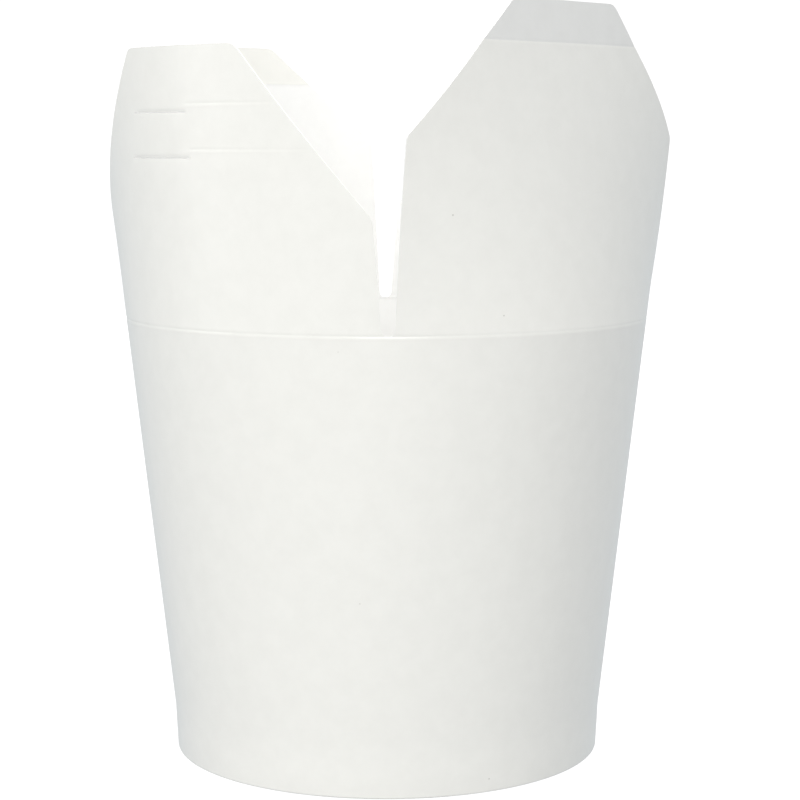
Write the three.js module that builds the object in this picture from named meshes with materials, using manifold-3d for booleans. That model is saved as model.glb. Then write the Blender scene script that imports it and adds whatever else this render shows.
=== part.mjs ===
// An empty, open noodle takeaway box of white coated board: a round tapered cup with a recessed
// base, and four flaps that stand up from a crease round its mouth, with a notch between each two.
// Millimetres, +Z up. The origin is the middle of the foot, on the surface that the box stands on.
// The flaps face -Y (slits), +X (tongue), +Y (slits) and -X (tongue, a little lower).

import * as THREE from "three";
import { ParametricGeometry } from "three/addons/geometries/ParametricGeometry.js";
import { mergeVertices } from "three/addons/utils/BufferGeometryUtils.js";
import Module from "manifold-3d";

const wasm = await Module();
wasm.setup();

// Cup
const BOARD = 0.45; // thickness of the coated board
const FOOT_RADIUS = 46.5; // outside, where the box stands
const MOUTH_RADIUS = 56.6; // outside, at the crease
const CREASE_HEIGHT = 95.0;
const FOOT_HEIGHT = 9.5; // height of the upright band round the foot
const FOOT_TOP_RADIUS = 46.95; // outside, where that band meets the taper
const FOOT_ROUNDING = 0.5;
const HEM_HEIGHT = 7.2; // how far the wall's turned-in lower edge comes up inside the foot
const HEM_GAP = 0.2; // between the base's skirt and the board on each side of it
const BASE_HEIGHT = 8.4; // top of the base, where the food stands
const BASE_CORNER = 0.8;
const TAPER = (MOUTH_RADIUS - FOOT_TOP_RADIUS) / (CREASE_HEIGHT - FOOT_HEIGHT);
const CREASE_GAP = 0.3; // between the wall's top and a flap, and between a flap and its tongue
const ROUND_SIDES = 64;
const FOLD_STEPS = 2; // straight pieces in the rounding of the wall's fold

// Glued overlap of the wall, under the notch between the back and the left flap
const SEAM_WIDTH = 8.0;
const SEAM_AZIMUTH = 225; // from -Y towards +X
const SEAM_LOW = 1.0;
const SEAM_SINK = 0.2; // how far the overlap's solid reaches into the wall

// Flaps. A half width is measured along the board, a height from the crease.
const CORNER_GAP = 0.65; // half the notch, at its rounded bottom
const NOTCH_HALF = 1.4; // half the notch, one rounding up
const NOTCH_ROUNDING = 0.9;
const NOTCH_CORNER = 0.3; // rounding where the notch's bottom turns up into its side
const SHOULDER_ROUNDING = 0.9;
const TOP_ROUNDING = 1.5;
const TONGUE_LENGTH = 8.4;
const TONGUE_BEND = 6; // degrees that a tongue stands outwards of its flap
const COLUMNS = 14;
const ROW_STEP = 9;
const ROUNDING_STEPS = 3;

// The bend of each flap as it stands: lean and curl move its middle in or out with the height
// and its square, and curvatureLeft is the share of the mouth's curvature left at its top.
const SLIT_FLAP = {
  height: 56.3,
  shoulder: 22.9,
  shoulderHalf: 42.5,
  topHalf: 16.1,
  tongue: false,
  lean: 0.03,
  curl: 0.00045,
  curvatureLeft: 0.76,
  slits: [
    { height: 34.3, from: -17.6, to: 3.0 },
    { height: 43.3, from: -15.4, to: 2.7 },
  ],
};
const TONGUE_FLAP = {
  height: 65.5,
  shoulder: 38.4,
  shoulderHalf: 41.5,
  topHalf: 15.3,
  tongue: true,
  lean: -0.115,
  curl: 0.0001,
  curvatureLeft: 0.1,
  slits: [],
};
const LOWER_TONGUE_FLAP = {
  ...TONGUE_FLAP,
  height: 59.8,
  shoulder: 37.8,
  lean: -0.05,
  curl: 0.0002,
  curvatureLeft: 0.6,
};
const SLIT_WIDTH = 0.4;
const SLIT_DEPTH = 8.0; // long enough to pass through the bent board

const boardMaterial = (color) =>
  new THREE.MeshStandardMaterial({ color, roughness: 0.55, metalness: 0 });
const WHITE_BOARD = 0xf3f3f0;
const BASE_BOARD = 0xefefec;

// A geometry with shared vertices merged and the triangles that collapsed left out.
function closed(geometry) {
  const bare = geometry.clone();
  bare.deleteAttribute("normal");
  bare.deleteAttribute("uv");
  const merged = mergeVertices(bare, 1e-3);
  const kept = [];
  const index = merged.index.array;
  for (let i = 0; i < index.length; i += 3) {
    const [a, b, c] = index.slice(i, i + 3);
    if (a !== b && b !== c && c !== a) kept.push(a, b, c);
  }
  merged.setIndex(kept);
  return merged;
}

function solidFrom(geometry) {
  const shell = closed(geometry);
  return new wasm.Manifold(
    new wasm.Mesh({
      numProp: 3,
      vertProperties: shell.getAttribute("position").array,
      triVerts: new Uint32Array(shell.index.array),
    }),
  );
}

function geometryFrom(solid) {
  const mesh = solid.getMesh();
  const geometry = new THREE.BufferGeometry();
  geometry.setAttribute("position", new THREE.BufferAttribute(mesh.vertProperties, 3));
  geometry.setIndex(new THREE.BufferAttribute(mesh.triVerts, 1));
  geometry.computeVertexNormals();
  return geometry;
}

function named(name, geometry, color = WHITE_BOARD) {
  const mesh = new THREE.Mesh(geometry, boardMaterial(color));
  mesh.name = name;
  return mesh;
}

// A turned solid about Z. Its profile is a list of [radius, height], listed upwards on the outside.
function turned(profile) {
  const points = profile.map(([radius, height]) => new THREE.Vector2(radius, height));
  return new THREE.LatheGeometry(points, ROUND_SIDES).rotateX(Math.PI / 2);
}

// Outside radius of the wall at a height: the upright foot, then the taper.
function wallRadius(height) {
  const slope = height < FOOT_HEIGHT ? (FOOT_TOP_RADIUS - FOOT_RADIUS) / FOOT_HEIGHT : TAPER;
  return FOOT_TOP_RADIUS + slope * (height - FOOT_HEIGHT);
}

// A profile's points on an arc round a centre, with its two angles in degrees from outwards.
function fold(radius, height, from, to) {
  const [start, end] = [from, to].map(THREE.MathUtils.degToRad);
  const arc = new THREE.Path().absarc(radius, height, FOOT_ROUNDING, start, end);
  return arc.getPoints(FOLD_STEPS).map((point) => [point.x, point.y]);
}

// Radii through the foot, from the outside in: wall, gap, the base's skirt, gap, hem.
const SKIRT_OUT = FOOT_RADIUS - BOARD - HEM_GAP;
const SKIRT_IN = SKIRT_OUT - BOARD;
const HEM_OUT = SKIRT_IN - HEM_GAP;
const HEM_IN = HEM_OUT - BOARD;

function cupWall() {
  const top = CREASE_HEIGHT - CREASE_GAP / 2;
  const profile = [
    ...fold(FOOT_RADIUS - FOOT_ROUNDING, FOOT_ROUNDING, -90, 0),
    [FOOT_TOP_RADIUS, FOOT_HEIGHT],
    [wallRadius(top), top],
    [wallRadius(top) - BOARD, top],
    [FOOT_TOP_RADIUS - BOARD, FOOT_HEIGHT],
    [FOOT_RADIUS - BOARD, FOOT_ROUNDING + BOARD],
    [HEM_OUT, FOOT_ROUNDING + BOARD],
    [HEM_OUT, HEM_HEIGHT],
    [HEM_IN, HEM_HEIGHT],
    ...fold(HEM_IN + FOOT_ROUNDING, FOOT_ROUNDING, 180, 270),
    [FOOT_RADIUS - FOOT_ROUNDING, 0],
  ];
  return geometryFrom(solidFrom(turned(profile)).add(solidFrom(seam(top))));
}

// The strip of board that lies on the wall where its two ends are glued.
function seam(top) {
  const halfAngle = SEAM_WIDTH / 2 / MOUTH_RADIUS;
  const middle = THREE.MathUtils.degToRad(SEAM_AZIMUTH);
  const heights = [SEAM_LOW, FOOT_HEIGHT, top];
  return panel(heights.length, 2, (row, across, depth, point) => {
    const height = heights[row];
    const radius = wallRadius(height) + BOARD - depth * (BOARD + SEAM_SINK);
    const azimuth = middle + across * halfAngle;
    point.set(radius * Math.sin(azimuth), -radius * Math.cos(azimuth), height);
  });
}

function baseDisc() {
  const low = FOOT_ROUNDING + BOARD + HEM_GAP;
  const inside = FOOT_TOP_RADIUS - BOARD - HEM_GAP;
  const profile = [
    [0, BASE_HEIGHT - BOARD],
    [SKIRT_IN - BASE_CORNER, BASE_HEIGHT - BOARD],
    [SKIRT_IN, BASE_HEIGHT - BOARD - BASE_CORNER],
    [SKIRT_IN, low],
    [SKIRT_OUT, low],
    [inside, BASE_HEIGHT - BASE_CORNER],
    [inside - BASE_CORNER, BASE_HEIGHT],
    [0, BASE_HEIGHT],
  ];
  return geometryFrom(solidFrom(turned(profile)));
}

// A closed bent panel. place(row, across, depth, point) puts one of its points: across runs from
// -1 to 1 over its width, and depth is 0 on the outer face, 1 on the inner one and 0.5 between.
function panel(rows, columns, place) {
  const around = 2 * (columns + 1);
  return new ParametricGeometry(
    (u, v, point) => {
      const step = Math.round(u * around) % around;
      const level = Math.round(v * (rows + 1));
      const inner = step > columns;
      const across = inner ? 1 - (2 * (step - columns - 1)) / columns : -1 + (2 * step) / columns;
      const capped = level === 0 || level === rows + 1;
      const row = Math.min(Math.max(level - 1, 0), rows - 1);
      place(row, across, capped ? 0.5 : Number(inner), point);
    },
    around,
    rows + 1,
  );
}

// The corners of an outline, [half width, height, rounding], as rows of points with each rounded
// corner as a curve and each long side cut up so that the bent board stays smooth.
function outlineRows(corners) {
  const path = new THREE.Path();
  const at = ([half, height]) => new THREE.Vector2(half, height);
  path.moveTo(corners[0][0], corners[0][1]);
  for (let i = 1; i < corners.length - 1; i++) {
    const corner = at(corners[i]);
    const rounding = corners[i][2];
    const before = at(corners[i - 1]).sub(corner).setLength(rounding).add(corner);
    const after = at(corners[i + 1]).sub(corner).setLength(rounding).add(corner);
    path.lineTo(before.x, before.y);
    path.quadraticCurveTo(corner.x, corner.y, after.x, after.y);
  }
  path.lineTo(...corners.at(-1).slice(0, 2));
  const rows = [];
  for (const piece of path.curves) {
    const isCurve = piece.isQuadraticBezierCurve;
    const count = isCurve ? ROUNDING_STEPS : Math.ceil(piece.getLength() / ROW_STEP);
    const points = piece.getPoints(Math.max(count, 1));
    rows.push(...points.slice(rows.length ? 1 : 0));
  }
  return rows.filter((row, i) => i === 0 || row.distanceTo(rows[i - 1]) > 1e-4);
}

// Half the length of the arc between two notch middles, at a height over the crease.
const quarterHalf = (height) => (Math.PI / 4) * (MOUTH_RADIUS + TAPER * height);

function flapCorners(form) {
  const slope = (form.shoulderHalf - form.topHalf) / (form.height - form.shoulder);
  const tongueHeight = form.height - TONGUE_LENGTH;
  const halfAt = (height) => form.topHalf + slope * (form.height - height);
  const low = CREASE_GAP / 2;
  const rising = [
    [quarterHalf(0) - CORNER_GAP, low, 0],
    [quarterHalf(0) - NOTCH_HALF, NOTCH_ROUNDING, NOTCH_CORNER],
    [form.shoulderHalf, form.shoulder, SHOULDER_ROUNDING],
  ];
  const top = [
    [form.topHalf, form.height, TOP_ROUNDING],
    [0, form.height, 0],
  ];
  if (!form.tongue) return { flap: [...rising, ...top] };
  const creaseLow = tongueHeight - CREASE_GAP / 2;
  const creaseHigh = tongueHeight + CREASE_GAP / 2;
  return {
    flap: [...rising, [halfAt(creaseLow), creaseLow, 0]],
    tongue: [[halfAt(creaseHigh), creaseHigh, 0], ...top],
  };
}

// The middle of a flap's outer face, as its distance from the box's axis.
function middleRadius(form, height) {
  const overTongue = Math.max(height - (form.height - TONGUE_LENGTH), 0);
  const bend = form.tongue ? overTongue * Math.tan(THREE.MathUtils.degToRad(TONGUE_BEND)) : 0;
  return MOUTH_RADIUS + form.lean * height + form.curl * height ** 2 + bend;
}

// A point of a flap's board, with x outwards, y along the flap and z up.
function boardPoint(form, along, height, depth, point) {
  const left = 1 - ((1 - form.curvatureLeft) * height) / form.height;
  const radius = (MOUTH_RADIUS + TAPER * height) / left;
  const angle = along / radius;
  const inner = radius - depth * BOARD;
  const outwards = middleRadius(form, height) - radius + inner * Math.cos(angle);
  return point.set(outwards, inner * Math.sin(angle), CREASE_HEIGHT + height);
}

// The last row's own half width is nought, so the board above the top rounding ends a little
// before it: the row at the end of the rounding closes the panel.
function bentBoard(form, corners) {
  const rows = outlineRows(corners).filter((row) => row.x > 1e-6);
  const topHeight = Math.max(...rows.map((row) => row.y));
  const closing = rows.findIndex((row) => row.y > topHeight - 1e-6);
  const used = rows.slice(0, closing + 1);
  return panel(used.length, COLUMNS, (row, across, depth, point) =>
    boardPoint(form, across * used[row].x, used[row].y, depth, point),
  );
}

// The knife's path for one slit, as a bar through the board.
function slitBar(form, slit) {
  const length = slit.to - slit.from;
  const bar = new THREE.BoxGeometry(SLIT_DEPTH, length, SLIT_WIDTH);
  return bar.translate(
    middleRadius(form, slit.height),
    (slit.from + slit.to) / 2,
    CREASE_HEIGHT + slit.height,
  );
}

function flapMeshes(name, tongueName, form) {
  const corners = flapCorners(form);
  let flap = solidFrom(bentBoard(form, corners.flap));
  for (const slit of form.slits) flap = flap.subtract(solidFrom(slitBar(form, slit)));
  const meshes = [named(name, geometryFrom(flap))];
  if (corners.tongue) {
    meshes.push(named(tongueName, geometryFrom(solidFrom(bentBoard(form, corners.tongue)))));
  }
  return meshes;
}

const box = new THREE.Group();
box.add(named("cup_wall", cupWall()), named("base_disc", baseDisc(), BASE_BOARD));

// Each flap is built facing +X and turned to the side it stands on.
const FLAPS = [
  { name: "flap_slits_front", form: SLIT_FLAP, turn: -90 },
  { name: "flap_tongue_right", tongue: "tongue_right", form: TONGUE_FLAP, turn: 0 },
  { name: "flap_slits_back", form: SLIT_FLAP, turn: 90 },
  { name: "flap_tongue_left", tongue: "tongue_left", form: LOWER_TONGUE_FLAP, turn: 180 },
];
for (const { name, tongue, form, turn } of FLAPS) {
  const side = new THREE.Group();
  side.rotation.z = THREE.MathUtils.degToRad(turn);
  side.add(...flapMeshes(name, tongue, form));
  box.add(side);
}

export default box;
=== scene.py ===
"""Looks of an empty, open noodle takeaway box of white coated board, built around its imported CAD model.

Metres, +Z up. The box stands on its round foot at the origin. Its four flaps face -Y and +Y, with
slits, and +X and -X, with a tongue each. Each flap is cut as a flat blank and then bent onto the mouth.
"""

import math

import bmesh
import bpy
import numpy as np
from bpy.props import FloatProperty, FloatVectorProperty, IntProperty, PointerProperty
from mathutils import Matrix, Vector


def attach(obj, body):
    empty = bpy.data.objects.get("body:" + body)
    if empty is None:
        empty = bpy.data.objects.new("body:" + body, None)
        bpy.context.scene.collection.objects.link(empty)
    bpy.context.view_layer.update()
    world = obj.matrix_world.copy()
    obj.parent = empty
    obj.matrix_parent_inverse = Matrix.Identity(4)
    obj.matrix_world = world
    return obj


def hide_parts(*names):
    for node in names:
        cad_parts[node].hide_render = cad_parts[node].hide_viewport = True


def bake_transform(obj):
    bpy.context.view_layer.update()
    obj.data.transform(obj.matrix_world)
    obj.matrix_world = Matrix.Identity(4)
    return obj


bl_info = {
    "name": "Noodle takeaway box",
    "version": (1, 0, 0),
    "blender": (4, 5, 0),
    "location": "3D View > Sidebar > Noodle box",
    "description": "Builds an open noodle box of white board: cup, base, flaps, tongues and stage",
    "category": "Object",
}

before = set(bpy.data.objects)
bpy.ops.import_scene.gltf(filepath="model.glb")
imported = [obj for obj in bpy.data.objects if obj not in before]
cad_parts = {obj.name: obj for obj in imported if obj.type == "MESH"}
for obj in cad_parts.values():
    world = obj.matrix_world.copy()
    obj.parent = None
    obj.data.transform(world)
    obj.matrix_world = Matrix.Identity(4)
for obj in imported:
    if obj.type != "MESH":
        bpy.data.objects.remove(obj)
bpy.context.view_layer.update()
MM = 0.001

# Two lengths that differ by less than this are the same.
TINY = 1e-7

# Faces that meet at more than this angle show a sharp fold.
FOLD_ANGLE = math.radians(35)

# Roughness of what has no gloss.
MATT = 0.9


def length(name, description, millimetres):
    """A length property, with its default in millimetres."""
    return FloatProperty(
        name=name, description=description, default=millimetres * MM, unit="LENGTH", precision=5
    )


def angle(name, description, degrees):
    """An angle property, with its default in degrees."""
    return FloatProperty(
        name=name, description=description, default=math.radians(degrees), unit="ROTATION"
    )


def share(name, description, default):
    """A plain number from 0 up."""
    return FloatProperty(name=name, description=description, default=default, min=0, precision=4)


def colour(name, description, default):
    """A linear colour."""
    return FloatVectorProperty(
        name=name, description=description, default=default, subtype="COLOR", min=0, max=1
    )


class CupSizes(bpy.types.PropertyGroup):
    """Sizes of the round cup under the crease."""

    board: length("Board", "Thickness of the coated board", 0.45)
    foot_radius: length("Foot radius", "Outside, where the box stands", 46.5)
    foot_top_radius: length("Foot top radius", "Outside, where the foot meets the taper", 46.95)
    foot_height: length("Foot height", "Height of the upright band round the foot", 9.5)
    foot_rounding: length("Foot rounding", "Fold at the very bottom of the wall", 0.5)
    mouth_radius: length("Mouth radius", "Outside, at the crease", 56.6)
    crease_height: length("Crease height", "From the table to the crease", 95.0)
    hem_height: length("Hem height", "How far the turned-in edge comes up inside the foot", 7.2)
    hem_gap: length("Hem gap", "Between the base's skirt and the board on each side of it", 0.2)
    base_height: length("Base height", "Top of the base", 8.4)
    base_corner: length("Base corner", "Rounding where the base turns down", 0.8)
    seam_width: length("Seam width", "Overlap where the wall's two ends are glued", 8.0)
    seam_ramp: length("Seam ramp", "Length over which the outer end climbs onto the inner one", 6.0)
    seam_azimuth: angle("Seam azimuth", "Place of the glued overlap, opposite the camera", 225)
    groove: length("Crease groove", "Depth of the line pressed along a crease", 0.056)
    bead: length("Crease bead", "Height of the rounded ridge beside that line", 0.02)
    sides: IntProperty(name="Sides", description="Faces round the cup", default=192, min=24)
    ribs: IntProperty(name="Foot ribs", description="Ribs pressed into the hem", default=96, min=8)
    rib_depth: length("Rib depth", "How far a rib stands out of the hem", 0.12)
    rib_half_width: length("Rib half width", "Half the width of a rib", 0.45)
    rib_half_height: length("Rib half height", "Half the height of a rib", 2.3)
    rib_middle: length("Rib middle", "Height of the middle of the ribs", 3.9)


class FlapSizes(bpy.types.PropertyGroup):
    """What all four flaps share. Half widths run along the board, heights from the crease."""

    corner_gap: length("Corner gap", "Half the notch, at its rounded bottom", 0.65)
    notch_half: length("Notch half", "Half the notch, one rounding up", 1.4)
    notch_rounding: length("Notch rounding", "Rounding at the bottom of a notch", 0.9)
    shoulder_rounding: length("Shoulder rounding", "Rounding of a shoulder", 0.9)
    top_rounding: length("Top rounding", "Rounding of the top's two corners", 1.5)
    tongue_length: length("Tongue length", "From the tongue's crease to the top", 8.4)
    tongue_bend: angle("Tongue bend", "How far a tongue stands outwards of its flap", 6)
    slit_width: length("Slit width", "Opening of a knife cut", 0.2)
    slit_sink: length("Slit sink", "How far the knife pressed in both edges of a slit", 0.13)
    slit_lip: length("Slit lip", "How far the two edges of a slit stand apart", 0.06)
    slit_reach: length("Slit reach", "How far from a slit the board begins to dip", 0.48)
    slit_step: length("Slit step", "Height of the pressed line over its slit", 1.6)
    line_share: share("Line share", "Depth of pressed lines and tongue creases, against the mouth's", 0.55)
    crease_over: length("Fold length", "Height over which a flap's board bends as it folds", 25)
    tongue_over: length("Tongue fold length", "Height over which a tongue's board bends", 2.5)


class SlitFlap(bpy.types.PropertyGroup):
    """The flaps with two slits, which take the tongues."""

    height: length("Height", "From the crease to the top", 56.3)
    shoulder: length("Shoulder", "From the crease to the shoulders", 22.9)
    shoulder_half: length("Shoulder half width", "Half the width at the shoulders", 42.5)
    top_half: length("Top half width", "Half the width of the top edge", 16.1)
    lean: share("Lean", "How far the middle moves out for each length up", 0.03)
    curl: FloatProperty(name="Curl", description="Change of the lean, per metre", default=0.45)
    curvature_left: share("Curvature left", "Share of the mouth's curvature left at the top", 0.76)
    low_slit: length("Low slit", "Height of the lower slit", 34.3)
    low_slit_from: length("Low slit from", "Start of the lower slit", -17.6)
    low_slit_to: length("Low slit to", "End of the lower slit, where its pressed line starts", 3.0)
    high_slit: length("High slit", "Height of the upper slit", 43.3)
    high_slit_from: length("High slit from", "Start of the upper slit", -15.4)
    high_slit_to: length("High slit to", "End of the upper slit, where its line starts", 2.7)


class TongueFlap(bpy.types.PropertyGroup):
    """The right flap, which ends in a tongue and leans in."""

    height: length("Height", "From the crease to the top", 65.5)
    shoulder: length("Shoulder", "From the crease to the shoulders", 38.4)
    shoulder_half: length("Shoulder half width", "Half the width at the shoulders", 41.5)
    top_half: length("Top half width", "Half the width of the top edge", 15.3)
    lean: FloatProperty(name="Lean", description="Middle's move out for each length up", default=-0.115)
    curl: FloatProperty(name="Curl", description="Change of the lean, per metre", default=0.1)
    curvature_left: share("Curvature left", "Share of the mouth's curvature left at the top", 0.1)


class LowerTongueFlap(bpy.types.PropertyGroup):
    """The left flap, which also ends in a tongue and stands a little lower."""

    height: length("Height", "From the crease to the top", 59.8)
    shoulder: length("Shoulder", "From the crease to the shoulders", 37.8)
    shoulder_half: length("Shoulder half width", "Half the width at the shoulders", 41.5)
    top_half: length("Top half width", "Half the width of the top edge", 15.3)
    lean: FloatProperty(name="Lean", description="Middle's move out for each length up", default=-0.05)
    curl: FloatProperty(name="Curl", description="Change of the lean, per metre", default=0.2)
    curvature_left: share("Curvature left", "Share of the mouth's curvature left at the top", 0.6)


class BoardFinish(bpy.types.PropertyGroup):
    """Colours and surface of the coated board, with painted light on its inner side and painted shade on
    its tongues.
    """

    white: colour("White", "The coated face", (0.868, 0.862, 0.826))
    shade: colour("Shade", "Darker patches of the coated face", (0.846, 0.840, 0.804))
    # The inner side's colours are lighter than the coated face: painted light, standing in for the light
    # that fills the open box.
    inner_painted_light_tone: colour("Inner white", "The side that faces the food", (0.94, 0.938, 0.931))
    inner_painted_light_patches: colour("Inner shade", "Darker patches of that side", (0.915, 0.913, 0.905))
    # The tongues' colours are darker than the coated face: painted shade, standing in for the shade on a
    # tongue that leans outwards.
    tongue_painted_shade_tone: colour("Tongue white", "The coated face of a tongue", (0.832, 0.83, 0.812))
    tongue_painted_shade_patches: colour("Tongue shade", "Darker patches of a tongue", (0.81, 0.808, 0.79))
    base_white: colour("Base white", "The base's board", (0.84, 0.838, 0.818))
    cut_white: colour("Cut white", "The raw cut edge", (0.93, 0.93, 0.92))
    speck: colour("Speck", "Fibre specks in the board", (0.55, 0.54, 0.50))
    roughness: share("Roughness", "Of the coated face", 0.36)
    coat: share("Coat", "Strength of the gloss coat", 0.35)
    coat_roughness: share("Coat roughness", "Of the gloss coat", 0.22)
    patch_size: length("Patch size", "Size of the darker patches", 4.5)
    fibre_size: length("Fibre size", "Size of the fibres under the coat", 0.7)
    fibre_height: length("Fibre height", "How far the fibres lift the coat", 0.012)
    speck_pitch: length("Speck pitch", "Mean distance between specks in the board", 11.0)
    speck_size: length("Speck size", "Radius of a speck", 0.22)


class StageSizes(bpy.types.PropertyGroup):
    """Camera and studio."""

    camera_azimuth: angle("Camera azimuth", "From -Y towards +X", 44.66)
    camera_distance: length("Camera distance", "From the box's axis", 469.96)
    camera_height: length("Camera height", "Over the table", 131.06)
    camera_turn: angle("Camera turn", "To the right of the box's axis", 0.355)
    camera_tilt: angle("Camera tilt", "Downwards", 6.658)
    focal_length: FloatProperty(name="Focal length", description="Millimetres", default=96.72)
    sensor: FloatProperty(name="Sensor", description="Width in millimetres", default=36.0)
    floor_size: length("Floor size", "Side of the floor", 8000)
    floor_white: share("Floor white", "How much light the floor throws back", 0.12)
    floor_glow: share("Floor glow", "Light of its own that keeps the floor pale", 0.99)
    cool_tint: colour("Cool tint", "Tint of the light from the surroundings", (0.955, 0.975, 1.0))
    mirror_tint: colour("Mirror tint", "Tint of the surroundings in the gloss", (0.88, 0.95, 1.0))
    lamp_tint: colour("Lamp tint", "Warm tint of the lamps", (1.0, 0.985, 0.945))
    backdrop: share("Backdrop", "Light that the white surroundings throw on the box", 0.56)
    mirrored: share("Mirrored", "Brightness of the surroundings in the gloss", 0.78)
    seen: share("Seen", "Brightness of the surroundings as the camera sees them", 1.1)
    aim_height: length("Aim height", "Point of the box's axis that the lamps face", 80)


class NoodleBoxSettings(bpy.types.PropertyGroup):
    """Everything a user would change."""

    cup: PointerProperty(type=CupSizes)
    flaps: PointerProperty(type=FlapSizes)
    slit_flap: PointerProperty(type=SlitFlap)
    tongue_flap: PointerProperty(type=TongueFlap)
    lower_tongue_flap: PointerProperty(type=LowerTongueFlap)
    finish: PointerProperty(type=BoardFinish)
    stage: PointerProperty(type=StageSizes)


# The flaps by the side they stand on: the form's settings, the turn from +X in degrees, and the CAD
# nodes of the flap and of its tongue.
FLAPS = {
    "front": {"form": "slit_flap", "turn": -90, "node": "flap_slits_front", "tongue": None},
    "right": {"form": "tongue_flap", "turn": 0, "node": "flap_tongue_right", "tongue": "tongue_right"},
    "back": {"form": "slit_flap", "turn": 90, "node": "flap_slits_back", "tongue": None},
    "left": {
        "form": "lower_tongue_flap", "turn": 180, "node": "flap_tongue_left", "tongue": "tongue_left"
    },
}


def taper(cup):
    """How far the wall moves out for each length up."""
    return (cup.mouth_radius - cup.foot_top_radius) / (cup.crease_height - cup.foot_height)


def wall_radius(cup, height):
    """Outside radius of the wall at a height over the table."""
    if height < cup.foot_height:
        rise = height / cup.foot_height
        return cup.foot_radius + rise * (cup.foot_top_radius - cup.foot_radius)
    return cup.mouth_radius + taper(cup) * (height - cup.crease_height)


# A crease: its groove lies a little over the line and its bead under it, each fading out over a width.
GROOVE_OVER = 0.10 * MM
GROOVE_WIDTH = 0.26 * MM
BEAD_UNDER = 0.45 * MM
BEAD_WIDTH = 0.40 * MM

# The rows of a mesh that show a crease: how far they go on each side of its line, and their number.
CREASE_REACH = 1.0 * MM
CREASE_ROWS = 17


def crease_lift(cup, over):
    """How far a crease moves the board outwards, at a height over its line."""
    groove = cup.groove * math.exp(-(((over - GROOVE_OVER) / GROOVE_WIDTH) ** 2))
    bead = cup.bead * math.exp(-(((over + BEAD_UNDER) / BEAD_WIDTH) ** 2))
    return bead - groove


def near_crease(line):
    """Heights close enough together to show the groove and the bead along a line."""
    return list(np.linspace(line - CREASE_REACH, line + CREASE_REACH, CREASE_ROWS))


def hem_inside(cup):
    """Inside radius of the hem, past the wall, the base's skirt and the gap on each side of it."""
    return cup.foot_radius - 3 * cup.board - 2 * cup.hem_gap


# Node trees and materials


class Amount:
    """A number that Math nodes work out for each point, so that a rule can be written as a formula."""

    def __init__(self, tree, socket):
        self.tree = tree
        self.socket = socket

    def calculate(self, operation, *others):
        """What a Math node makes of this amount and others, which may be plain numbers."""
        node = self.tree.nodes.new("ShaderNodeMath")
        node.operation = operation
        for place, value in zip(node.inputs, (self, *others)):
            if isinstance(value, Amount):
                self.tree.links.new(value.socket, place)
            else:
                place.default_value = value
        return Amount(self.tree, node.outputs[0])

    def __add__(self, other):
        return self.calculate("ADD", other)

    def __sub__(self, other):
        return self.calculate("SUBTRACT", other)

    def __mul__(self, other):
        return self.calculate("MULTIPLY", other)

    def __truediv__(self, other):
        return self.calculate("DIVIDE", other)


def add_node(tree, kind, **settings):
    """A new node with its options set."""
    node = tree.nodes.new(kind)
    for key, value in settings.items():
        setattr(node, key, value)
    return node


def new_geometry_tree(name, inputs):
    """An empty Geometry Nodes tree with a geometry going in and out, and named inputs of given kinds."""
    tree = bpy.data.node_groups.new(name, "GeometryNodeTree")
    tree.interface.new_socket("Geometry", in_out="OUTPUT", socket_type="NodeSocketGeometry")
    tree.interface.new_socket("Geometry", in_out="INPUT", socket_type="NodeSocketGeometry")
    for label, kind in inputs.items():
        tree.interface.new_socket(label, in_out="INPUT", socket_type=f"NodeSocket{kind}")
    return tree


def finish_tree(tree, group_in, geometry):
    """Ends a tree: instances made real, then a material on all faces, inner ones and cut edges."""
    real = add_node(tree, "GeometryNodeRealizeInstances")
    tree.links.new(geometry, real.inputs[0])
    last = real
    for label, mark in (("Outer", None), ("Inner", "inner_face"), ("Cut", "cut_edge")):
        coated = add_node(tree, "GeometryNodeSetMaterial")
        tree.links.new(last.outputs[0], coated.inputs["Geometry"])
        tree.links.new(group_in.outputs[label], coated.inputs["Material"])
        if mark:
            marked = add_node(tree, "GeometryNodeInputNamedAttribute", data_type="BOOLEAN")
            marked.inputs["Name"].default_value = mark
            tree.links.new(marked.outputs["Attribute"], coated.inputs["Selection"])
        last = coated
    group_out = add_node(tree, "NodeGroupOutput")
    tree.links.new(last.outputs[0], group_out.inputs[0])


# The material inputs of both trees, and the trees' names.
FACES = {"Outer": "Material", "Inner": "Material", "Cut": "Material"}
BEND = "bend board onto mouth"
RIBS = "ribs round the hem"


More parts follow.
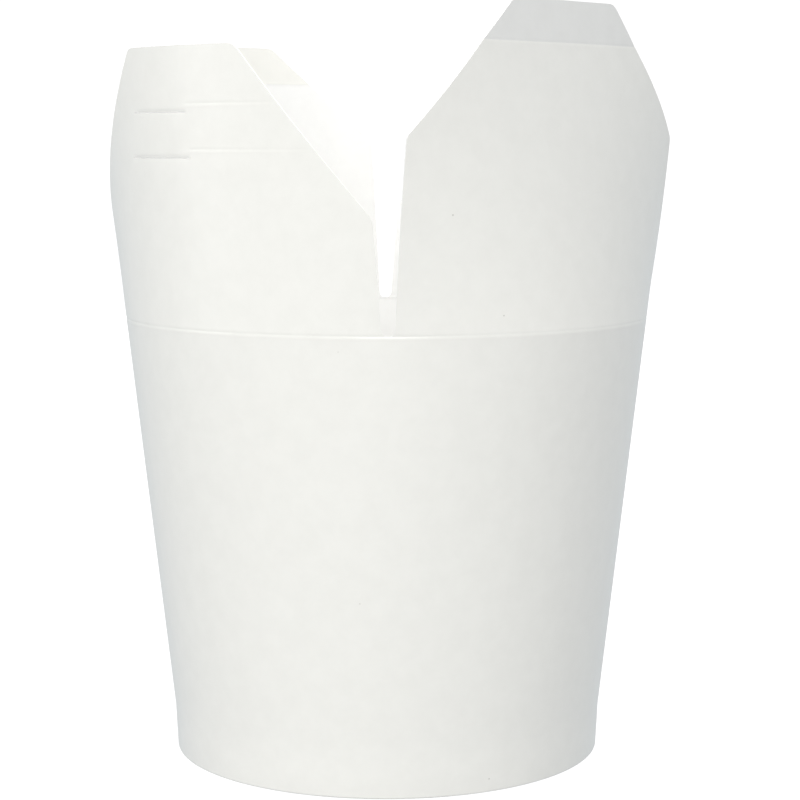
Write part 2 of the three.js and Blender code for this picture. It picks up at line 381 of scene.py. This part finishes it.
def bend_tree():
    """Bends a flat blank onto the mouth. In the blank X runs along the board, Y up it and Z outwards."""
    labels = (
        "Mouth Radius", "Taper", "Crease Height", "Height", "Lean", "Curl", "Curvature Left",
        "Tongue Start", "Tongue Slope", "Turn",
    )
    tree = new_geometry_tree(BEND, {label: "Float" for label in labels} | FACES)
    group_in = add_node(tree, "NodeGroupInput")
    given = {label: Amount(tree, group_in.outputs[label]) for label in labels}
    place = add_node(tree, "GeometryNodeInputPosition")
    split = add_node(tree, "ShaderNodeSeparateXYZ")
    tree.links.new(place.outputs[0], split.inputs[0])
    along, over, outwards = (Amount(tree, socket) for socket in split.outputs)

    lost = (given["Curvature Left"] * -1 + 1) * over / given["Height"]
    left = lost * -1 + 1
    radius = (given["Taper"] * over + given["Mouth Radius"]) / left
    turned = along / radius
    past = (over - given["Tongue Start"]).calculate("MAXIMUM", 0)
    lean = given["Lean"] * over + given["Curl"] * over * over + past * given["Tongue Slope"]
    reach = radius + outwards
    x = given["Mouth Radius"] + lean - radius + reach * turned.calculate("COSINE")
    y = reach * turned.calculate("SINE")
    z = given["Crease Height"] + over

    joined = add_node(tree, "ShaderNodeCombineXYZ")
    for value, socket in zip((x, y, z), joined.inputs):
        tree.links.new(value.socket, socket)
    about = add_node(tree, "ShaderNodeVectorRotate", rotation_type="Z_AXIS")
    tree.links.new(joined.outputs[0], about.inputs["Vector"])
    tree.links.new(group_in.outputs["Turn"], about.inputs["Angle"])
    moved = add_node(tree, "GeometryNodeSetPosition")
    tree.links.new(group_in.outputs["Geometry"], moved.inputs["Geometry"])
    tree.links.new(about.outputs[0], moved.inputs["Position"])
    finish_tree(tree, group_in, moved.outputs[0])
    return tree


def rib_tree():
    """Sets copies of one rib round a circle, each facing outwards."""
    kinds = {"Count": "Int", "Radius": "Float", "Height": "Float"}
    tree = new_geometry_tree(RIBS, kinds | FACES)
    group_in = add_node(tree, "NodeGroupInput")
    ring = add_node(tree, "GeometryNodeMeshCircle")
    tree.links.new(group_in.outputs["Count"], ring.inputs["Vertices"])
    tree.links.new(group_in.outputs["Radius"], ring.inputs["Radius"])
    lift = add_node(tree, "ShaderNodeCombineXYZ")
    tree.links.new(group_in.outputs["Height"], lift.inputs["Z"])
    raised = add_node(tree, "GeometryNodeSetPosition")
    tree.links.new(ring.outputs[0], raised.inputs["Geometry"])
    tree.links.new(lift.outputs[0], raised.inputs["Offset"])
    place = add_node(tree, "GeometryNodeInputPosition")
    flat = add_node(tree, "ShaderNodeVectorMath", operation="MULTIPLY")
    flat.inputs[1].default_value = (1, 1, 0)
    tree.links.new(place.outputs[0], flat.inputs[0])
    facing = add_node(tree, "FunctionNodeAlignEulerToVector", axis="X", pivot_axis="Z")
    tree.links.new(flat.outputs[0], facing.inputs["Vector"])
    copies = add_node(tree, "GeometryNodeInstanceOnPoints")
    tree.links.new(raised.outputs[0], copies.inputs["Points"])
    tree.links.new(group_in.outputs["Geometry"], copies.inputs["Instance"])
    tree.links.new(facing.outputs[0], copies.inputs["Rotation"])
    finish_tree(tree, group_in, copies.outputs[0])
    return tree


def grown(name, mesh, tree, values):
    """A new object with the plain mesh that a tree makes of a starting mesh."""
    start = bpy.data.objects.new(name + "_start", mesh)
    bpy.context.collection.objects.link(start)
    nodes = start.modifiers.new("grow", "NODES")
    nodes.node_group = tree
    for item in tree.interface.items_tree:
        if item.item_type == "SOCKET" and item.in_out == "INPUT" and item.name in values:
            nodes[item.identifier] = values[item.name]
    evaluated = start.evaluated_get(bpy.context.evaluated_depsgraph_get())
    made = bpy.data.meshes.new_from_object(evaluated)
    start.modifiers.clear()
    bpy.data.objects.remove(start)
    bpy.data.meshes.remove(mesh)
    return shown(name, made)


def plain_mesh(name, built):
    """A plain mesh of what was built, its points and faces in an order that is the same each run."""
    points = sorted(built.verts, key=lambda point: point.co[:])
    faces = sorted(built.faces, key=lambda face: face.calc_center_median()[:])
    for parts, ordered in ((built.verts, points), (built.faces, faces)):
        rank = {part: number for number, part in enumerate(ordered)}
        parts.sort(key=rank.get)
    mesh = bpy.data.meshes.new(name)
    built.to_mesh(mesh)
    built.free()
    return mesh


def shown(name, mesh):
    """An object that shows a finished mesh, smooth but for its sharp folds."""
    mesh.name = name
    mesh.shade_smooth()
    mesh.set_sharp_from_angle(angle=FOLD_ANGLE)
    piece = bpy.data.objects.new(name, mesh)
    bpy.context.collection.objects.link(piece)
    return piece


def board_material(name, finish, white, shade):
    """Coated board: soft patches, fibres under a gloss coat, and a few specks."""
    material = bpy.data.materials.new(name)
    material.use_nodes = True
    tree = material.node_tree
    shader = tree.nodes["Principled BSDF"]
    shader.inputs["Roughness"].default_value = finish.roughness
    shader.inputs["Coat Weight"].default_value = finish.coat
    shader.inputs["Coat Roughness"].default_value = finish.coat_roughness
    place = add_node(tree, "ShaderNodeTexCoord")

    patches = add_node(tree, "ShaderNodeTexNoise")
    patches.inputs["Scale"].default_value = 1 / finish.patch_size
    patches.inputs["Detail"].default_value = 5
    patches.inputs["Roughness"].default_value = 0.65
    tree.links.new(place.outputs["Object"], patches.inputs["Vector"])
    contrast = add_node(tree, "ShaderNodeMapRange")
    contrast.inputs["From Min"].default_value = 0.35
    contrast.inputs["From Max"].default_value = 0.65
    tree.links.new(patches.outputs["Fac"], contrast.inputs["Value"])
    mottled = add_node(tree, "ShaderNodeMix", data_type="RGBA")
    mottled.inputs["A"].default_value = (*shade, 1)
    mottled.inputs["B"].default_value = (*white, 1)
    tree.links.new(contrast.outputs["Result"], mottled.inputs["Factor"])

    cells = add_node(tree, "ShaderNodeTexVoronoi")
    cells.inputs["Scale"].default_value = 1 / finish.speck_pitch
    tree.links.new(place.outputs["Object"], cells.inputs["Vector"])
    speck = add_node(tree, "ShaderNodeMapRange")
    size = finish.speck_size / finish.speck_pitch
    speck.inputs["From Min"].default_value = size
    speck.inputs["From Max"].default_value = 0.4 * size
    tree.links.new(cells.outputs["Distance"], speck.inputs["Value"])
    speckled = add_node(tree, "ShaderNodeMix", data_type="RGBA")
    speckled.inputs["B"].default_value = (*finish.speck, 1)
    tree.links.new(speck.outputs["Result"], speckled.inputs["Factor"])
    tree.links.new(mottled.outputs["Result"], speckled.inputs["A"])
    tree.links.new(speckled.outputs["Result"], shader.inputs["Base Color"])

    fibres = add_node(tree, "ShaderNodeTexNoise")
    fibres.inputs["Scale"].default_value = 1 / finish.fibre_size
    fibres.inputs["Detail"].default_value = 3
    tree.links.new(place.outputs["Object"], fibres.inputs["Vector"])
    bump = add_node(tree, "ShaderNodeBump")
    bump.inputs["Strength"].default_value = 1
    bump.inputs["Distance"].default_value = finish.fibre_height
    tree.links.new(fibres.outputs["Fac"], bump.inputs["Height"])
    tree.links.new(bump.outputs["Normal"], shader.inputs["Normal"])
    return material


def cut_material(finish):
    """The raw edge where the board was cut: brighter and without gloss."""
    material = bpy.data.materials.new("cut board edge")
    material.use_nodes = True
    shader = material.node_tree.nodes["Principled BSDF"]
    shader.inputs["Base Color"].default_value = (*finish.cut_white, 1)
    shader.inputs["Roughness"].default_value = MATT
    return material


def materials(finish):
    """The materials of the board's outer face, its inner face made lighter with painted light, its tongues
    made darker with painted shade, its cut edge and base, made once.
    """
    if "outer face" not in bpy.data.materials:
        board_material("outer face", finish, finish.white, finish.shade)
        # The inner face is lighter as painted light and the tongue face darker as painted shade.
        board_material("painted light inner face", finish, finish.inner_painted_light_tone, finish.inner_painted_light_patches)
        board_material("painted shade tongue face", finish, finish.tongue_painted_shade_tone, finish.tongue_painted_shade_patches)
        board_material("base board", finish, finish.base_white, finish.shade)
        cut_material(finish)
    names = {
        "Outer": "outer face",
        "Inner": "painted light inner face",
        "Tongue": "painted shade tongue face",
        "Cut": "cut board edge",
        "Base": "base board",
    }
    return {label: bpy.data.materials[name] for label, name in names.items()}


# Turned pieces


def turned_mesh(name, profile, azimuths, lift=None):
    """A closed turned mesh. The profile is a closed loop of (radius, height, kind), which runs up the
    outside; a point of radius 0 becomes a pole. lift(kind, azimuth) moves a point outwards."""
    mesh = bmesh.new()
    rings = []
    for radius, height, kind in profile:
        if radius < TINY:
            rings.append([mesh.verts.new((0, 0, height))] * len(azimuths))
            continue
        ring = []
        for azimuth in azimuths:
            reach = radius + (lift(kind, azimuth) if lift else 0)
            ring.append(mesh.verts.new((reach * math.sin(azimuth), -reach * math.cos(azimuth), height)))
        rings.append(ring)
    for low, high in zip(rings, rings[1:] + rings[:1]):
        for i in range(len(azimuths)):
            j = (i + 1) % len(azimuths)
            corners = list(dict.fromkeys((low[i], low[j], high[j], high[i])))
            if len(corners) > 2:
                mesh.faces.new(corners)
    return plain_mesh(name, mesh)


def arc(centre, radius, start, end, steps, kind):
    """Points of a profile on an arc, with its angles in degrees from the outward direction."""
    turns = np.radians(np.linspace(start, end, steps))
    return [(centre[0] + radius * math.cos(t), centre[1] + radius * math.sin(t), kind) for t in turns]


# Spacing of the rows up the wall, and the row halfway up its foot.
WALL_ROW = 2.5 * MM
FOOT_ROW = 5 * MM


def wall_profile(cup):
    """Section of the cup's wall, up the outside, over the top, down the inside and round the hem."""
    board = cup.board
    top = cup.crease_height
    heights = sorted({*np.arange(cup.foot_height, top - CREASE_REACH, WALL_ROW), *near_crease(top)})
    heights = [height for height in heights if height <= top + TINY]
    hem_in = hem_inside(cup)
    hem_out = hem_in + board
    fold = cup.foot_rounding
    outside = [(cup.foot_radius, fold, "outside"), (wall_radius(cup, FOOT_ROW), FOOT_ROW, "outside")]
    inside = [(cup.foot_radius - board, fold + board, "hidden")]
    for height in heights:
        lift = crease_lift(cup, height - top)
        radius = wall_radius(cup, height) + lift
        outside.append((radius, height, "outside"))
        inside.append((radius - board, height, "inside" if height > cup.base_height else "hidden"))
    return [
        *arc((cup.foot_radius - fold, fold), fold, -90, -15, 5, "outside"),
        *outside,
        *reversed(inside),
        (hem_out, fold + board, "hidden"),
        (hem_out, cup.hem_height, "hidden"),
        (hem_in, cup.hem_height, "hidden"),
        (hem_in, fold, "hidden"),
        *arc((hem_in + fold, fold), fold, -165, -90, 5, "hidden"),
    ]


def base_profile(cup):
    """Section of the base: a flat disc whose rim turns down into a skirt."""
    board = cup.board
    skirt_out = cup.foot_radius - board - cup.hem_gap
    skirt_in = skirt_out - board
    low = cup.foot_rounding + board + cup.hem_gap
    top = cup.base_height
    corner = cup.base_corner
    under = corner - board
    inner_ring = 0.6 * skirt_out
    return [
        (0, top - board, "base"),
        *arc((skirt_in - under, top - board - under), under, 90, 0, 4, "base"),
        (skirt_in, low, "base"),
        (skirt_out, low, "base"),
        *arc((skirt_out - corner, top - corner), corner, 0, 90, 7, "base"),
        (inner_ring, top, "base"),
        (0, top, "base"),
    ]


# Flaps


# The rows and columns of a flap's blank: spacing up it, the least distance of two rows, the digits of
# a row's height in metres, the columns, and the points of a rounded corner.
BLANK_ROW = 2.0 * MM
CLOSEST_ROWS = 0.04 * MM
ROW_DIGITS = 7
BLANK_COLUMNS = 49
ROUNDING_POINTS = 9

# Clear of other rows on each side of a slit's middle, as a share of the slit's width.
SLIT_CLEAR = 0.6

# How a pressed line starts round the end of its slit, and the share it loses towards the flap's edge,
# from a share of the flap's half width on.
LINE_BEFORE = 0.6 * MM
LINE_AFTER = 0.4 * MM
LINE_FADE = 0.5
LINE_FADES_FROM = 0.75

# How the dip along a slit starts and ends: a little past the slit, and full only well inside it.
DIP_PAST = 0.5 * MM
DIP_INSIDE = 2 * MM


def rounded_edge(corners):
    """The right edge of a flap's outline from bottom to top, as (half width, height) points. Corners
    between the first and the last have a rounding as their third number."""
    points = [Vector(corners[0][:2])]
    for before, corner, after in zip(corners, corners[1:], corners[2:]):
        middle = Vector(corner[:2])
        towards = (Vector(before[:2]) - middle).normalized() * corner[2]
        away = (Vector(after[:2]) - middle).normalized() * corner[2]
        for step in np.linspace(0, 1, ROUNDING_POINTS):
            points.append(middle + towards * (1 - step) ** 2 + away * step**2)
    points.append(Vector(corners[-1][:2]))
    return points


def flap_edge(cup, flaps, form):
    """Half widths of a whole flap, tongue and all, at rising heights over the crease."""
    quarter = math.pi / 4 * cup.mouth_radius
    corners = [
        (quarter - flaps.corner_gap, 0, 0),
        (quarter - flaps.notch_half, flaps.notch_rounding, 0.5 * flaps.notch_rounding),
        (form.shoulder_half, form.shoulder, flaps.shoulder_rounding),
        (form.top_half, form.height, flaps.top_rounding),
        (0, form.height, 0),
    ]
    points = rounded_edge(corners)[:-1]
    heights = np.array([point.y for point in points])
    halves = np.array([point.x for point in points])
    rising = np.concatenate(([True], np.diff(heights) > TINY))
    return halves[rising], heights[rising]


def slits_of(form):
    """The slits of a flap, as (height, from, to)."""
    if not hasattr(form, "low_slit"):
        return []
    return [
        (form.low_slit, form.low_slit_from, form.low_slit_to),
        (form.high_slit, form.high_slit_from, form.high_slit_to),
    ]


def smooth_step(value, start, end):
    """0 before start, 1 past end, and a smooth climb between."""
    t = np.clip((value - start) / (end - start), 0, 1)
    return t * t * (3 - 2 * t)


def blank_rows(heights, low, high, slits, creases, flaps):
    """Heights of the rows of a blank between low and high: its edge's own, a plain spacing, and close
    rows at the creases and at the two lips of each slit."""
    rows = [*heights, *np.arange(low, high, BLANK_ROW), low, high]
    for line in creases:
        rows += near_crease(line)
    lips = []
    for line, _, _ in slits:
        rows = [row for row in rows if abs(row - line) > SLIT_CLEAR * flaps.slit_width]
        lips += [line - flaps.slit_width / 2, line + flaps.slit_width / 2]
    rows = [row for row in (*rows, *lips) if low - TINY <= row <= high + TINY]
    rows = np.unique(np.round(rows, ROW_DIGITS))
    lips = np.round(lips, ROW_DIGITS)
    kept = [rows[0]]
    for row in rows[1:]:
        if row - kept[-1] > CLOSEST_ROWS:
            kept.append(row)
        elif row in lips or row == rows[-1]:
            kept[-1] = row
    return kept


def board_lift(cup, flaps, form, along, over):
    """How far creases, pressed lines and slit lips move a blank's face outwards at a point."""
    lift = crease_lift(cup, over)
    if not slits_of(form):
        tongue_crease = crease_lift(cup, over - (form.height - flaps.tongue_length))
        return lift + flaps.line_share * tongue_crease
    for line, start, end in slits_of(form):
        edge = np.interp(over, [form.shoulder, form.height], [form.shoulder_half, form.top_half])
        pressed = smooth_step(along, end - LINE_BEFORE, end + LINE_AFTER)
        fading = 1 - LINE_FADE * smooth_step(along, LINE_FADES_FROM * edge, edge)
        lift += flaps.line_share * crease_lift(cup, over - line - flaps.slit_step) * pressed * fading
        begun = smooth_step(along, start - DIP_PAST, start + DIP_INSIDE)
        ended = smooth_step(along, end - DIP_INSIDE, end + DIP_PAST)
        open_part = begun * (1 - ended)
        away = (over - line) / flaps.slit_reach
        dip = flaps.slit_sink + math.copysign(flaps.slit_lip / 2, away)
        lift -= dip * open_part * math.exp(-away * away)
    return lift


def blank_mesh(name, cup, flaps, form, low, high):
    """A flat blank of real thickness between two heights of a flap, its cut edges marked."""
    halves, heights = flap_edge(cup, flaps, form)
    slits = [slit for slit in slits_of(form) if low < slit[0] < high]
    creases = [0]
    if slits_of(form):
        creases += [line + flaps.slit_step for line, _, _ in slits_of(form)]
    else:
        creases.append(form.height - flaps.tongue_length)
    rows = blank_rows(heights, low, high, slits, creases, flaps)
    shares = set(np.linspace(-1, 1, BLANK_COLUMNS))
    for line, start, end in slits:
        half = np.interp(line, heights, halves)
        shares |= {start / half, end / half}
    shares = sorted(shares)

    mesh = bmesh.new()
    cut_edge = mesh.faces.layers.bool.new("cut_edge")
    inner_face = mesh.faces.layers.bool.new("inner_face")
    grid = []
    for row in rows:
        across = np.interp(row, heights, halves) * np.array(shares)
        grid.append([mesh.verts.new((x, row, board_lift(cup, flaps, form, x, row))) for x in across])
    for k, (low_row, high_row) in enumerate(zip(grid, grid[1:])):
        middle = (rows[k] + rows[k + 1]) / 2
        cut = [slit for slit in slits if abs(middle - slit[0]) < flaps.slit_width / 2]
        for i in range(len(shares) - 1):
            centre = (low_row[i].co.x + low_row[i + 1].co.x) / 2
            if any(start < centre < end for _, start, end in cut):
                continue
            mesh.faces.new((low_row[i], low_row[i + 1], high_row[i + 1], high_row[i]))
    copied = bmesh.ops.extrude_face_region(mesh, geom=list(mesh.faces), use_keep_orig=True)
    behind = {v for v in copied["geom"] if isinstance(v, bmesh.types.BMVert)}
    for vertex in behind:
        vertex.co.z -= cup.board
    for polygon in mesh.faces:
        shared = sum(vertex in behind for vertex in polygon.verts)
        polygon[cut_edge] = 0 < shared < len(polygon.verts)
        polygon[inner_face] = shared == len(polygon.verts)
    bmesh.ops.recalc_face_normals(mesh, faces=mesh.faces)
    return plain_mesh(name, mesh)


def bent_board(name, settings, side, low, high, outer="Outer", inner="Inner"):
    """A part of one flap, from a low to a high height over the crease, bent onto the mouth, with the
    named materials outside and inside."""
    cup, flaps = settings.cup, settings.flaps
    form = getattr(settings, FLAPS[side]["form"])
    faces = materials(settings.finish)
    slope = 0 if slits_of(form) else math.tan(flaps.tongue_bend)
    values = {
        "Mouth Radius": cup.mouth_radius,
        "Taper": taper(cup),
        "Crease Height": cup.crease_height,
        "Height": form.height,
        "Lean": form.lean,
        "Curl": form.curl,
        "Curvature Left": form.curvature_left,
        "Tongue Start": form.height - flaps.tongue_length,
        "Tongue Slope": slope,
        "Turn": math.radians(FLAPS[side]["turn"]),
        "Outer": faces[outer],
        "Inner": faces[inner],
        "Cut": faces["Cut"],
    }
    tree = bpy.data.node_groups.get(BEND) or bend_tree()
    return grown(name, blank_mesh(name, cup, flaps, form, low, high), tree, values)


# Operators


# Width of the step at the end of the lap seam, half of it on each side.
SEAM_STEP = 0.1 * MM


class NOODLEBOX_OT_cup(bpy.types.Operator):
    """The tapered wall with its lap seam, crease and foot, and the ribs pressed into its hem"""

    bl_idname = "noodle_box.cup"
    bl_label = "Cup wall"

    def execute(self, context):
        settings = context.scene.noodle_box
        cup = settings.cup
        faces = materials(settings.finish)
        half = cup.seam_width / 2 / cup.mouth_radius
        ramp = cup.seam_ramp / cup.mouth_radius
        step = SEAM_STEP / 2 / cup.mouth_radius
        clearance = 6 * step
        seam = cup.seam_azimuth
        regular = np.linspace(0, 2 * math.pi, cup.sides, endpoint=False)
        edges = [seam - half - step, seam - half + step, seam + half - step, seam + half + step]
        clear = [a for a in regular if min(abs(a - e) for e in edges) > clearance]
        azimuths = sorted([*clear, *edges])

        def lap(kind, azimuth):
            """The outer end of the wall climbs over the inner one, and ends in a step."""
            if kind == "hidden":
                return 0
            climb = float(smooth_step(azimuth, seam - half - ramp, seam - half))
            last = seam + half if kind == "outside" else seam - half
            return cup.board * climb if azimuth < last else 0

        mesh = turned_mesh("wall", wall_profile(cup), azimuths, lap)
        for label in ("Outer", "Inner", "Cut"):
            mesh.materials.append(faces[label])
        for polygon in mesh.polygons:
            if polygon.center.z > cup.crease_height - TINY:
                polygon.material_index = 2
            # Faces that look inwards take the inner face, whose lighter colour is painted light.
            elif polygon.normal.dot(Vector((*polygon.center.xy, 0))) < 0:
                polygon.material_index = 1
        wall = shown("wall", mesh)
        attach(wall, "cup")
        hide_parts("cup_wall")

        rib = bmesh.new()
        size = (cup.rib_depth, cup.rib_half_width, cup.rib_half_height)
        bmesh.ops.create_uvsphere(rib, u_segments=8, v_segments=6, radius=1)
        bmesh.ops.scale(rib, vec=size, verts=rib.verts)
        tree = bpy.data.node_groups.get(RIBS) or rib_tree()
        values = {"Count": cup.ribs, "Radius": hem_inside(cup), "Height": cup.rib_middle, **faces}
        ribs = grown("hem_ribs", plain_mesh("rib", rib), tree, values)
        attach(ribs, "cup")
        return {"FINISHED"}


class NOODLEBOX_OT_base(bpy.types.Operator):
    """The recessed base, a disc whose skirt is held between the wall and its hem"""

    bl_idname = "noodle_box.base"
    bl_label = "Base"

    def execute(self, context):
        settings = context.scene.noodle_box
        cup = settings.cup
        azimuths = np.linspace(0, 2 * math.pi, cup.sides, endpoint=False)
        mesh = turned_mesh("base", base_profile(cup), azimuths)
        mesh.materials.append(materials(settings.finish)["Base"])
        base = shown("base", mesh)
        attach(base, "cup")
        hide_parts("base_disc")
        return {"FINISHED"}


class NOODLEBOX_OT_flaps(bpy.types.Operator):
    """The four flaps, up to the tongue's crease on the two that end in a tongue"""

    bl_idname = "noodle_box.flaps"
    bl_label = "Flaps"

    def execute(self, context):
        settings = context.scene.noodle_box
        cup, flaps = settings.cup, settings.flaps
        for side, flap in FLAPS.items():
            form = getattr(settings, flap["form"])
            top = form.height - (flaps.tongue_length if flap["tongue"] else 0)
            # Each flap's inside takes the inner face, whose lighter colour is painted light.
            piece = bent_board(f"{side}_flap_board", settings, side, 0, top)
            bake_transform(piece)
            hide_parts(flap["node"])
        return {"FINISHED"}


class NOODLEBOX_OT_tongues(bpy.types.Operator):
    """The tongues at the top of the right and the left flap"""

    bl_idname = "noodle_box.tongues"
    bl_label = "Tongues"

    def execute(self, context):
        settings = context.scene.noodle_box
        flaps = settings.flaps
        for side, flap in FLAPS.items():
            if not flap["tongue"]:
                continue
            top = getattr(settings, flap["form"]).height
            low = top - flaps.tongue_length
            # The tongue's outside takes the darker tongue colour, and its inside takes the coated face's
            # colour, which is darker than the inner face: both are painted shade.
            piece = bent_board(f"{side}_tongue_board", settings, side, low, top, "Tongue", "Outer")
            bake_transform(piece)
            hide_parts(flap["tongue"])
        return {"FINISHED"}


class NOODLEBOX_OT_stage(bpy.types.Operator):
    """The pale floor, the white surroundings, the lamps and the camera"""

    bl_idname = "noodle_box.stage"
    bl_label = "Stage"

    # Each lamp: azimuth and elevation in degrees, distance, width and height in metres, power in watts.
    LAMPS = {
        "high_softbox": (24, 46, 1.3, 0.8, 0.6, 6.1),
        "front_softbox": (45, 9, 1.3, 0.6, 0.6, 5.1),
        "left_softbox": (-36, 12, 1.3, 0.45, 0.7, 1.8),
        "back_left_softbox": (-130, 15, 1.3, 0.45, 0.7, 4.0),
        "back_softbox": (185, 30, 1.3, 0.6, 0.6, 4.0),
        "mouth_lamp": (45, 89, 0.24, 0.08, 0.08, 0.14),
    }

    def execute(self, context):
        stage = context.scene.noodle_box.stage
        context.scene.view_settings.view_transform = "Standard"
        self.world(context, stage)
        self.floor(context, stage)
        for name, (azimuth, elevation, distance, width, height, power) in self.LAMPS.items():
            lamp = bpy.data.lights.new(name, "AREA")
            lamp.shape = "RECTANGLE"
            lamp.size = width
            lamp.size_y = height
            lamp.energy = power
            lamp.color = stage.lamp_tint
            thing = bpy.data.objects.new(name, lamp)
            context.collection.objects.link(thing)
            self.aim(thing, stage, azimuth, elevation, distance)
            thing.visible_camera = False
        self.camera(context, stage)
        return {"FINISHED"}

    def aim(self, thing, stage, azimuth, elevation, distance):
        """Places a lamp round the box, facing it."""
        around = math.radians(azimuth)
        up = math.radians(elevation)
        back = Vector((math.sin(around) * math.cos(up), -math.cos(around) * math.cos(up), math.sin(up)))
        thing.location = Vector((0, 0, stage.aim_height)) + back * distance
        thing.rotation_euler = back.to_track_quat("Z", "Y").to_euler()

    def world(self, context, stage):
        """White surroundings, brighter to the camera and in the gloss than in the light on the box."""
        world = bpy.data.worlds.new("white surroundings")
        world.use_nodes = True
        tree = world.node_tree
        tree.nodes.clear()
        path = add_node(tree, "ShaderNodeLightPath")
        last = self.glow(tree, stage.cool_tint, stage.backdrop)
        for ray, tint, strength in (
            ("Is Glossy Ray", stage.mirror_tint, stage.mirrored),
            ("Is Camera Ray", (1, 1, 1), stage.seen),
        ):
            mix = add_node(tree, "ShaderNodeMixShader")
            tree.links.new(path.outputs[ray], mix.inputs["Fac"])
            tree.links.new(last.outputs[0], mix.inputs[1])
            tree.links.new(self.glow(tree, tint, strength).outputs[0], mix.inputs[2])
            last = mix
        out = add_node(tree, "ShaderNodeOutputWorld")
        tree.links.new(last.outputs[0], out.inputs["Surface"])
        context.scene.world = world

    def glow(self, tree, tint, strength):
        """A background of one colour."""
        background = add_node(tree, "ShaderNodeBackground")
        background.inputs["Color"].default_value = (*tint, 1)
        background.inputs["Strength"].default_value = strength
        return background

    def floor(self, context, stage):
        """A white table, as pale as the surroundings, whose own light stays off the box."""
        half = stage.floor_size / 2
        corners = [(-half, -half, 0), (half, -half, 0), (half, half, 0), (-half, half, 0)]
        mesh = bpy.data.meshes.new("floor")
        mesh.from_pydata(corners, [], [(0, 1, 2, 3)])
        white = stage.floor_white
        material = bpy.data.materials.new("floor")
        material.use_nodes = True
        shader = material.node_tree.nodes["Principled BSDF"]
        shader.inputs["Base Color"].default_value = (white, white, white, 1)
        shader.inputs["Roughness"].default_value = MATT
        shader.inputs["Emission Color"].default_value = (1, 1, 1, 1)
        shader.inputs["Emission Strength"].default_value = stage.floor_glow
        mesh.materials.append(material)
        floor = bpy.data.objects.new("floor", mesh)
        context.collection.objects.link(floor)
        floor.visible_diffuse = False
        floor.visible_glossy = False

    def camera(self, context, stage):
        """The camera at the height and side from which the box is seen."""
        data = bpy.data.cameras.new("camera")
        data.sensor_width = stage.sensor
        data.lens = stage.focal_length
        data.clip_start = 10 * MM
        camera = bpy.data.objects.new("camera", data)
        context.collection.objects.link(camera)
        around = stage.camera_azimuth
        x = stage.camera_distance * math.sin(around)
        y = -stage.camera_distance * math.cos(around)
        camera.location = (x, y, stage.camera_height)
        camera.rotation_euler = (math.pi / 2 - stage.camera_tilt, 0, around - stage.camera_turn)
        context.scene.camera = camera


OPERATORS = (
    NOODLEBOX_OT_cup,
    NOODLEBOX_OT_base,
    NOODLEBOX_OT_flaps,
    NOODLEBOX_OT_tongues,
    NOODLEBOX_OT_stage,
)


class NOODLEBOX_PT_panel(bpy.types.Panel):
    """The pieces of the box, in the order they are made"""

    bl_label = "Noodle box"
    bl_idname = "NOODLEBOX_PT_panel"
    bl_space_type = "VIEW_3D"
    bl_region_type = "UI"
    bl_category = "Noodle box"

    def draw(self, context):
        for operator in OPERATORS:
            self.layout.operator(operator.bl_idname)


CLASSES = (
    CupSizes,
    FlapSizes,
    SlitFlap,
    TongueFlap,
    LowerTongueFlap,
    BoardFinish,
    StageSizes,
    NoodleBoxSettings,
    *OPERATORS,
    NOODLEBOX_PT_panel,
)


def register():
    for cls in CLASSES:
        bpy.utils.register_class(cls)
    bpy.types.Scene.noodle_box = PointerProperty(type=NoodleBoxSettings)


def unregister():
    del bpy.types.Scene.noodle_box
    for cls in reversed(CLASSES):
        bpy.utils.unregister_class(cls)


def main():
    register()
    bpy.ops.noodle_box.cup()
    bpy.ops.noodle_box.base()
    bpy.ops.noodle_box.flaps()
    bpy.ops.noodle_box.tongues()
    bpy.ops.noodle_box.stage()


if __name__ == "__main__":
    main()
